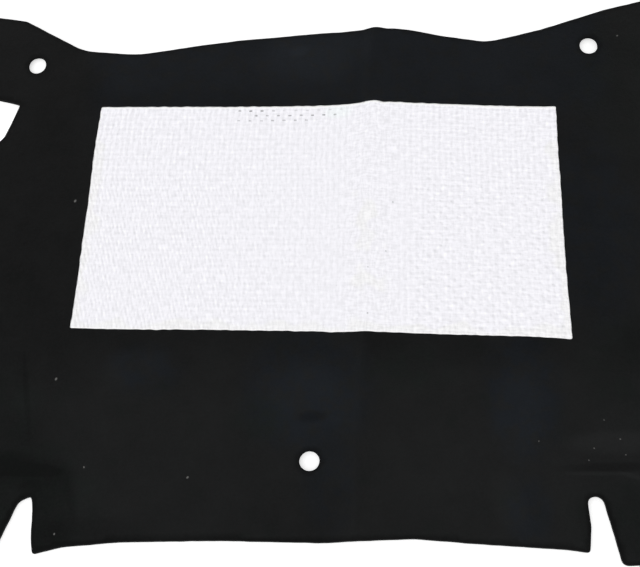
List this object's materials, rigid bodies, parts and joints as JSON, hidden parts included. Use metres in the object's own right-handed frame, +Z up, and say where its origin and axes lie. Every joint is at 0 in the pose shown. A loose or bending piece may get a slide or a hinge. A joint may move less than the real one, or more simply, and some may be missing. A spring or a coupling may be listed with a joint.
{
  "type": "hood insulation pad",
  "caption": "Flat black felt pad that lines the inside of a vehicle's hood, with an embossed foil heat shield, clip holes, notches in its front edge and a window at one side.",
  "frame": {"origin": "under the middle of the pad's outline, on the flat surface that it lies on", "axes": "+X along the line of the two rear clip holes, to the right seen from the foil side; +Y from the notched front edge to the rear edge; +Z up, out of the foil side"},
  "size_m": [0.98, 0.644, 0.0192],
  "materials": {
    "black_felt": "matte pressed non-woven felt",
    "bright_foil": "bright embossed foil"
  },
  "bodies": {
    "root": {"felt_pad": "black_felt", "heat_shield_foil": "bright_foil"}
  },
  "joints": []
}
